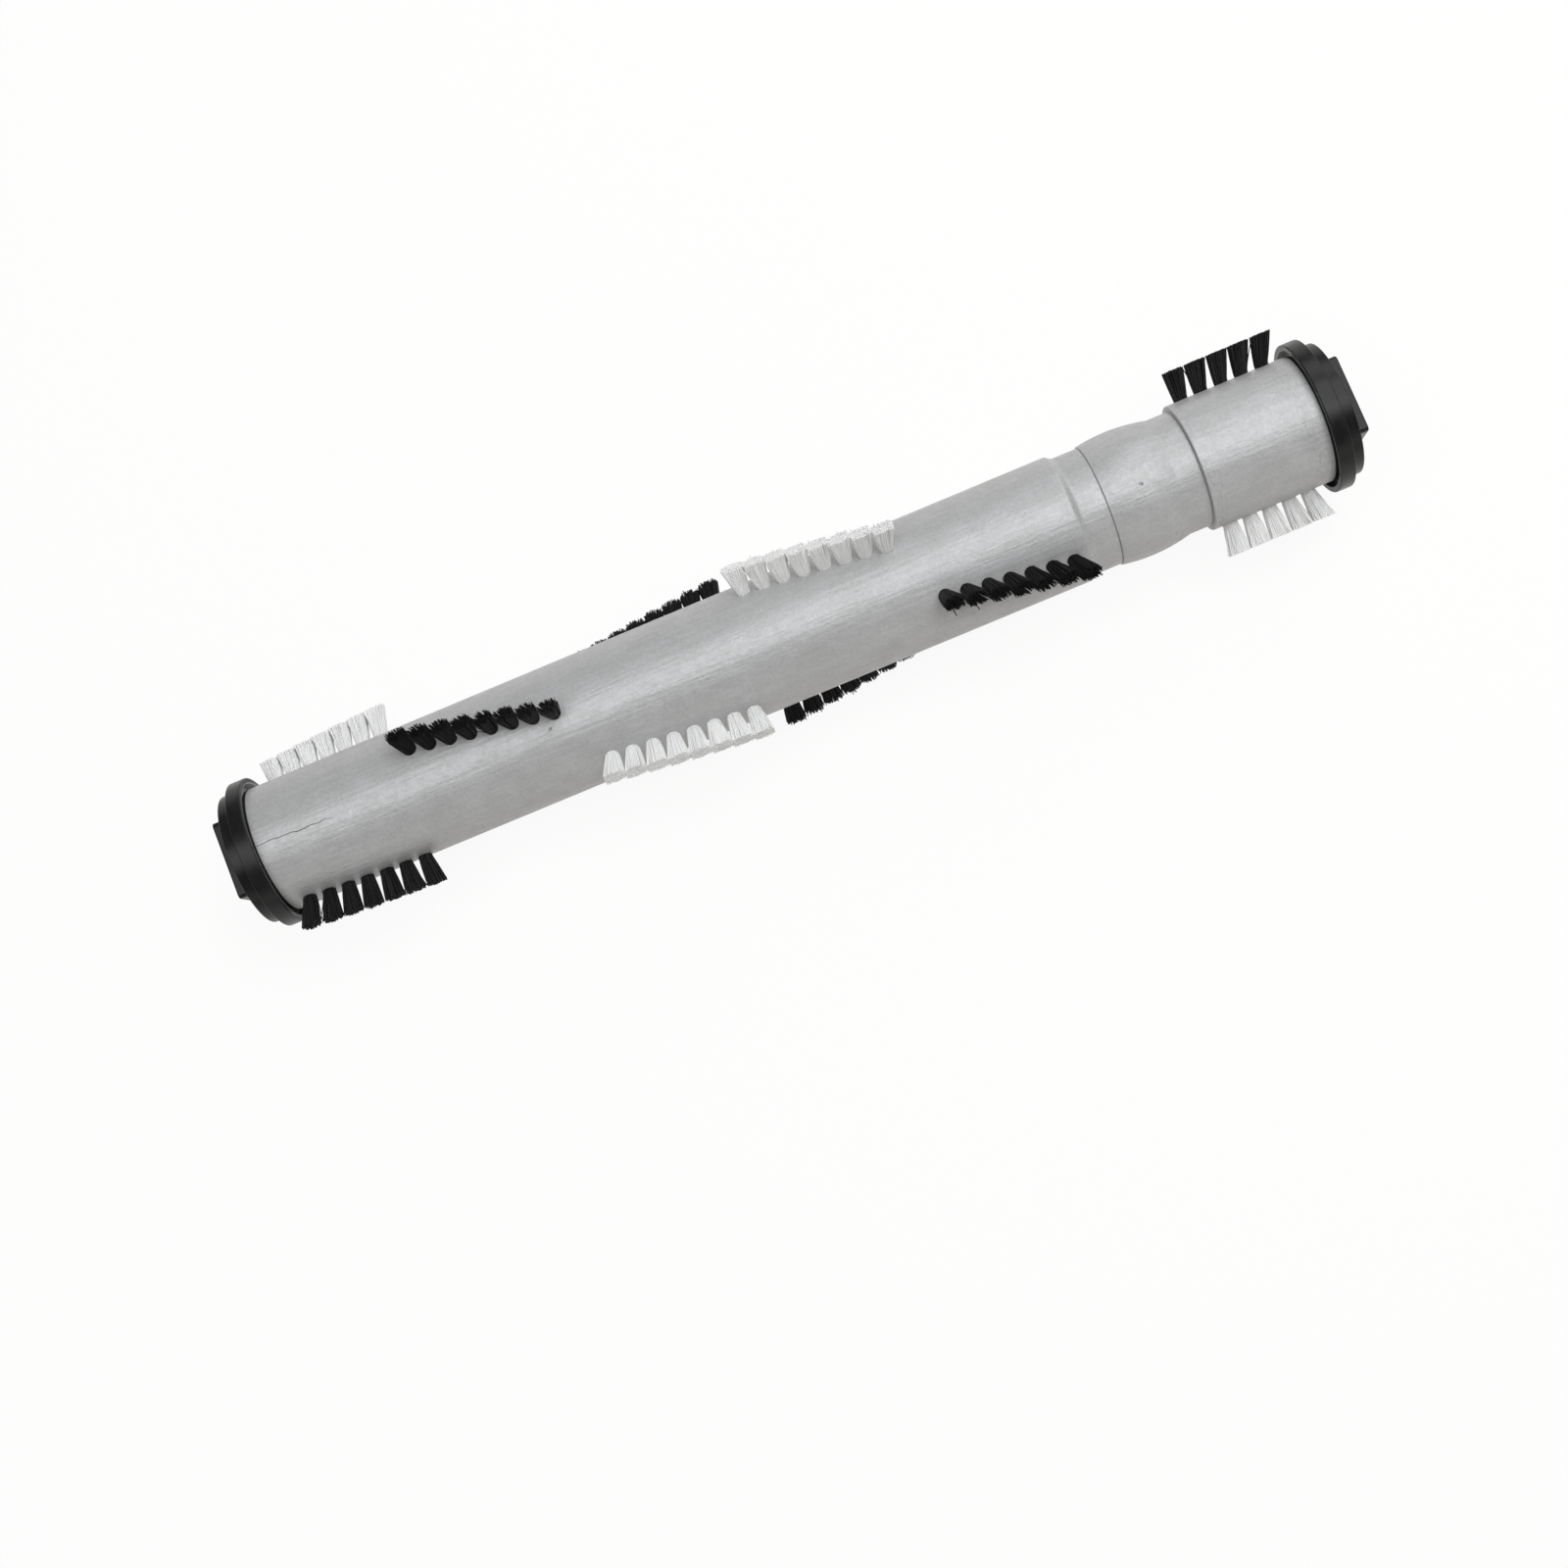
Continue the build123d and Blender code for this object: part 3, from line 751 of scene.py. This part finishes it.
# Anchor wires
# Short flat wires of drawn steel, which the tufting machine drives across each bundle at the
# floor of its hole. They hold the bristle down.
WIRE_STEEL = (0.62, 0.61, 0.59, 1)
WIRE_STEEL_DULL = (0.45, 0.44, 0.42, 1)
wire_steel, tree, shader, place = new_material("wire_steel")
drawn = use_group(tree, streaks, place=place, stretch=(3000, 400, 400))
tree.links.new(mixed(tree, drawn, WIRE_STEEL, WIRE_STEEL_DULL), shader.inputs["Base Color"])
shader.inputs["Metallic"].default_value = 1.0
shader.inputs["Roughness"].default_value = 0.35
bump(tree, shader, drawn, 0.01 * MM)


def repaint(material, *names):
    """Give CAD nodes, whose shape stays, their material."""
    for name in names:
        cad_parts[name].data.materials[0] = material


repaint(wire_steel, *["anchor_wires_" + str(number) for number in range(1, 7)])

# Spindle, bearings and thread guards
# A ground steel shaft carries a shielded ball bearing at each end. Zinc plated discs on the
# roller's end faces keep wound hair away from them.
BRIGHT_STEEL = (0.64, 0.64, 0.65, 1)
BRIGHT_STEEL_DULL = (0.52, 0.52, 0.54, 1)
bright_steel, tree, shader, place = new_material("bright_steel")
ground = use_group(tree, streaks, place=place, stretch=(9000, 250, 250))
tree.links.new(mixed(tree, ground, BRIGHT_STEEL, BRIGHT_STEEL_DULL), shader.inputs["Base Color"])
shader.inputs["Metallic"].default_value = 1.0
tree.links.new(ramp(tree, ground, 0.0, 1.0, 0.2, 0.32), shader.inputs["Roughness"])
bump(tree, shader, ground, 0.006 * MM)

ZINC = (0.58, 0.59, 0.60, 1)
ZINC_DULL = (0.50, 0.50, 0.48, 1)
guard_steel, tree, shader, place = new_material("guard_steel")
plating = use_group(tree, mottle, place=place, features_per_metre=700)
tree.links.new(mixed(tree, plating, ZINC, ZINC_DULL), shader.inputs["Base Color"])
shader.inputs["Metallic"].default_value = 1.0
tree.links.new(ramp(tree, plating, 0.0, 1.0, 0.32, 0.45), shader.inputs["Roughness"])
bump(tree, shader, plating, 0.01 * MM)

CAGE_CREAM = (0.70, 0.62, 0.42, 1)
CAGE_CREAM_DARK = (0.60, 0.52, 0.34, 1)
cage_plastic, tree, shader, place = new_material("cage_plastic")
flow = use_group(tree, mottle, place=place, features_per_metre=900)
tree.links.new(mixed(tree, flow, CAGE_CREAM, CAGE_CREAM_DARK), shader.inputs["Base Color"])
shader.inputs["Roughness"].default_value = 0.45
bump(tree, shader, flow, 0.01 * MM)

repaint(bright_steel, "spindle")
for side in ("_left", "_right"):
    for ground_piece in ("bearing_inner_race", "bearing_outer_race", "bearing_balls"):
        repaint(bright_steel, ground_piece + side)
    repaint(guard_steel, "thread_guard" + side, "bearing_shield" + side)
    repaint(cage_plastic, "bearing_cage" + side)

# Felt dust rings
# Rings punched from pressed grey felt. Each lies in its cap between the bearing and the roller,
# and keeps dust out of the bearing.
FELT_DARK = (0.24, 0.23, 0.22, 1)
FELT_LIGHT = (0.42, 0.41, 0.39, 1)
grey_felt, tree, shader, place = new_material("grey_felt")
fluff = use_group(tree, skin, place=place, features_per_metre=2200)
felt_colour = mixed(tree, ramp(tree, fluff, 0.4, 0.9), FELT_DARK, FELT_LIGHT)
tree.links.new(felt_colour, shader.inputs["Base Color"])
shader.inputs["Roughness"].default_value = 0.95
shader.inputs["Sheen Weight"].default_value = 0.4
bump(tree, shader, fluff, 0.15 * MM)
repaint(grey_felt, "felt_ring_left", "felt_ring_right")

# End caps
# Stepped cups moulded in black plastic, one over each end of the roller with a running gap. The
# square key on the outside sits in the nozzle and keeps the cap still while the roller turns.
CAP_SIDES = 256
CUP_GAP = 1.7 * MM
CUP_WALL = 1.6 * MM
CUP_DEPTH = 3.0 * MM
RIM_DEPTH = 4.3 * MM
TIER_STEP = 2.5 * MM
KEY_HALF = 11.1 * MM
KEY_RISE = 3.5 * MM
KEY_CORNER = 1.2 * MM
KEY_BEVEL = 0.4 * MM
KEY_BEVEL_STEPS = 4
LIP_ROUND = 0.35 * MM
SOFT_EDGE = 0.25 * MM
TURNED_HOLLOW = 0.2 * MM
CUP_HOLLOW = 0.3 * MM
POCKET_HOLLOW = 0.15 * MM
POCKET_EDGE = 0.1 * MM
POCKET_RADIUS = 9.52 * MM
FELT_RADIUS = 11.5 * MM
FELT_RECESS = 0.6 * MM
BEARING_WIDTH = 6.0 * MM
SHAFT_RECESS_RADIUS = 5.5 * MM
SHAFT_RECESS = 0.3 * MM


def key_outline(inset=0.0):
    """The rounded square of the key as a radius for each angle."""
    half = KEY_HALF - inset
    corner = KEY_CORNER - inset * 0.5
    straight = half - corner

    def reach(angle):
        across, up = abs(math.sin(angle)), abs(math.cos(angle))
        along_flat = half / max(across, up)
        if along_flat * min(across, up) <= straight:
            return along_flat
        middle = straight * (across + up)
        return middle + math.sqrt(middle * middle - 2 * straight * straight + corner * corner)

    return reach


def cap_rings(mouth, length):
    """The closed outline of a cap from its key's middle round to its bearing pocket."""
    rim = ROLLER_RADIUS + CUP_GAP + CUP_WALL
    tier = rim - TIER_STEP
    tier_end = mouth + length - KEY_RISE
    bearing_start = mouth + CUP_DEPTH + FELT_RECESS
    bearing_end = bearing_start + BEARING_WIDTH
    end = mouth + length
    tier_face_inner = KEY_HALF * 1.5
    outside = rounded_outline([
        (mouth, ROLLER_RADIUS + CUP_GAP, TURNED_HOLLOW),
        (mouth, rim, LIP_ROUND),
        (mouth + RIM_DEPTH, rim, SOFT_EDGE),
        (mouth + RIM_DEPTH, tier, TURNED_HOLLOW),
        (tier_end, tier, SOFT_EDGE),
        (tier_end, tier_face_inner, 0),
    ], steps=5)
    key = [(tier_end, key_outline()), (end - KEY_BEVEL, key_outline())]
    for step in range(1, KEY_BEVEL_STEPS + 1):
        turn = math.pi / 2 * step / KEY_BEVEL_STEPS
        below_face = KEY_BEVEL * (1 - math.sin(turn))
        inset = KEY_BEVEL * (1 - math.cos(turn))
        key.append((end - below_face, key_outline(inset)))
    inside = rounded_outline([
        (bearing_end + SHAFT_RECESS, SHAFT_RECESS_RADIUS, 0),
        (bearing_end, SHAFT_RECESS_RADIUS, POCKET_EDGE),
        (bearing_end, POCKET_RADIUS, TURNED_HOLLOW),
        (bearing_start, POCKET_RADIUS, POCKET_HOLLOW),
        (bearing_start, FELT_RADIUS, POCKET_EDGE),
        (mouth + CUP_DEPTH, FELT_RADIUS, POCKET_HOLLOW),
        (mouth + CUP_DEPTH, ROLLER_RADIUS + CUP_GAP, CUP_HOLLOW),
        (mouth, ROLLER_RADIUS + CUP_GAP, 0),
    ], steps=3)[:-1]
    middle_of_key = (end, 0)
    middle_of_recess = (bearing_end + SHAFT_RECESS, 0)
    rings = [middle_of_recess, *[tuple(point) for point in inside]]
    rings += [tuple(point) for point in outside] + key + [middle_of_key]
    return rings


BLACK = (0.004, 0.004, 0.0042, 1)
BLACK_SCUFFED = (0.007, 0.007, 0.0072, 1)
# Pale grey inside the cups: dust, and painted light on the side that faces the lamps
WALL_DUST_AND_LIGHT = (0.62, 0.62, 0.61, 1)
DUST_ROUGHNESS = 0.4
DUSTY_LIT_SIDE = (6 * MM, 12 * MM)
black_plastic, tree, shader, place = new_material("black_plastic")
scuffs = use_group(tree, mottle, place=place, features_per_metre=260)

# A pale grey on the cup's wall and floor, on the side that is at the back at rest: dust that has settled
# there, and painted light where the lamps shine into the cup
cup_wall = ROLLER_RADIUS + CUP_GAP
cup_floor = CAP_MOUTH + CUP_DEPTH
spot = add_node(tree, "ShaderNodeSeparateXYZ", {0: place}).outputs
from_axis = add_node(tree, "ShaderNodeVectorMath", {
    0: vector_calc(tree, "MULTIPLY", place, (0, 1, 1)), 1: (0, 0, axis_height),
}, operation="DISTANCE").outputs["Value"]
from_middle = calc(tree, "ABSOLUTE", spot["X"])
within_wall = ramp(tree, from_axis, cup_wall + 0.05 * MM, cup_wall + 0.25 * MM, 1.0, 0.0)
above_cup_floor = ramp(tree, from_middle, cup_floor + 0.05 * MM, cup_floor + 0.1 * MM, 1.0, 0.0)
in_cup = calc(tree, "MULTIPLY", within_wall, above_cup_floor)
dust_and_light = calc(tree, "MULTIPLY", in_cup, ramp(tree, spot["Y"], *DUSTY_LIT_SIDE))
colour = mixed(tree, dust_and_light, mixed(tree, scuffs, BLACK, BLACK_SCUFFED), WALL_DUST_AND_LIGHT)
tree.links.new(colour, shader.inputs["Base Color"])
moulded = ramp(tree, scuffs, 0.0, 1.0, 0.28, 0.33)
roughness = calc(tree, "MULTIPLY_ADD", dust_and_light, DUST_ROUGHNESS, moulded)
tree.links.new(roughness, shader.inputs["Roughness"])
shader.inputs["Specular IOR Level"].default_value = 0.27
texture = use_group(tree, skin, place=place, features_per_metre=1500)
bump(tree, shader, texture, 0.012 * MM, 0.5)

for side, sign in (("left", -1), ("right", 1)):
    low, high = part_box("end_cap_" + side)
    mouth = min(abs(low.x), abs(high.x))
    rings = [(sign * x, radius) for x, radius in cap_rings(mouth, high.x - low.x)]
    cap = new_piece("cap_" + side, ring_mesh("cap_" + side, rings, CAP_SIDES))
    cap.data.materials.append(black_plastic)
    smooth_shading(cap)
    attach(cap, "cap_" + side)
    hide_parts("end_cap_" + side)

# Studio
# A plain pale floor, which the camera sees as white with a faint shadow, a dim even sky, two
# soft panels overhead, and two lower ones, behind the brush and in front of it.
FLOOR_HALF = 3.0
FLOOR_WHITE = (0.80, 0.775, 0.735, 1)
GLOSSY_SHARE = 0.65
FADE_DISTANCES = (0.45, 1.6)
FADE_SHARES = (0.92, 1.0)
floor_mesh = bpy.data.meshes.new("floor")
signs = [(-1, -1), (1, -1), (1, 1), (-1, 1)]
floor_mesh.from_pydata([(x * FLOOR_HALF, y * FLOOR_HALF, 0) for x, y in signs], [], [(0, 1, 2, 3)])
floor = new_piece("floor", floor_mesh)
floor_white, tree, shader, place = new_material("floor_white")
shader.inputs["Base Color"].default_value = FLOOR_WHITE
shader.inputs["Roughness"].default_value = 0.9
glow = add_node(tree, "ShaderNodeEmission", {"Color": (1, 1, 1, 1), "Strength": 1.0})
rays = tree.nodes.new("ShaderNodeLightPath").outputs
mirrored = calc(tree, "MULTIPLY", rays["Is Glossy Ray"], GLOSSY_SHARE)
seen = calc(tree, "MAXIMUM", rays["Is Camera Ray"], mirrored)
far = add_node(tree, "ShaderNodeVectorMath", {0: place}, operation="LENGTH").outputs["Value"]
white_share = calc(tree, "MULTIPLY", seen, ramp(tree, far, *FADE_DISTANCES, *FADE_SHARES))
floor_look = add_node(tree, "ShaderNodeMixShader", {
    0: white_share, 1: shader.outputs[0], 2: glow.outputs[0],
})
tree.links.new(floor_look.outputs[0], tree.nodes["Material Output"].inputs["Surface"])
floor_mesh.materials.append(floor_white)

WORLD_STRENGTH = 0.25
world = bpy.data.worlds.new("studio")
world.use_nodes = True
bpy.context.scene.world = world
sky = world.node_tree
rays = sky.nodes.new("ShaderNodeLightPath").outputs
sky.nodes["Background"].inputs["Color"].default_value = (1, 1, 1, 1)
strength = calc(sky, "MAXIMUM", rays["Is Camera Ray"], WORLD_STRENGTH)
sky.links.new(strength, sky.nodes["Background"].inputs["Strength"])


def soft_light(name, place, target, size, power, colour, turn_degrees=0):
    """A panel that shines from a place to a target, turned about its own middle."""
    lamp = bpy.data.lights.new(name, "AREA")
    lamp.shape = "RECTANGLE"
    lamp.size, lamp.size_y = size
    lamp.energy = power
    lamp.color = colour
    holder = bpy.data.objects.new(name, lamp)
    aim = (Vector(target) - Vector(place)).to_track_quat("-Z", "Y").to_matrix().to_4x4()
    turn = Matrix.Rotation(math.radians(turn_degrees), 4, "Z")
    holder.matrix_world = Matrix.Translation(place) @ aim @ turn
    bpy.context.scene.collection.objects.link(holder)


DAYLIGHT = (0.975, 0.985, 1.0)
WARM_BOUNCE = (1.0, 0.95, 0.88)
soft_light("overhead_panel", (-0.03, 0.126, 1.0), (-0.03, 0.126, 0), (1.25, 0.6), 6.4, DAYLIGHT, 24)
soft_light("right_panel", (0.5, 0.17, 1.0), (0.5, 0.17, 0), (0.5, 1.0), 6.2, DAYLIGHT)
soft_light("back_panel", (0.65, 0.9, 0.65), (0.15, 0, 0.03), (0.8, 0.6), 3.4, DAYLIGHT)
soft_light("front_panel", (0, -1.2, 0.35), (0, 0, 0.03), (1.6, 0.4), 1.8, WARM_BOUNCE)

# Camera
# It looks down at the brush from nearly straight above, turned so that the roller rises to the
# right, with the photograph's angle of view and no depth of field.
CAMERA_PLACE = Vector((0.0085, -0.1120, 0.6082))
CAMERA_RIGHT = Vector((0.92345, -0.37387, -0.08637))
CAMERA_UP = Vector((0.38149, 0.91875, 0.10180))
PHOTO_SIDE = 1600
FOCAL_PIXELS = 2200
view = bpy.data.cameras.new("camera")
view.sensor_width = 36
view.sensor_fit = "HORIZONTAL"
view.lens = view.sensor_width * FOCAL_PIXELS / PHOTO_SIDE
camera = bpy.data.objects.new("camera", view)
turn = Matrix((CAMERA_RIGHT, CAMERA_UP, CAMERA_RIGHT.cross(CAMERA_UP))).transposed()
camera.matrix_world = Matrix.Translation(CAMERA_PLACE) @ turn.to_4x4()
bpy.context.scene.collection.objects.link(camera)
bpy.context.scene.camera = camera
bpy.context.scene.view_settings.view_transform = "Standard"
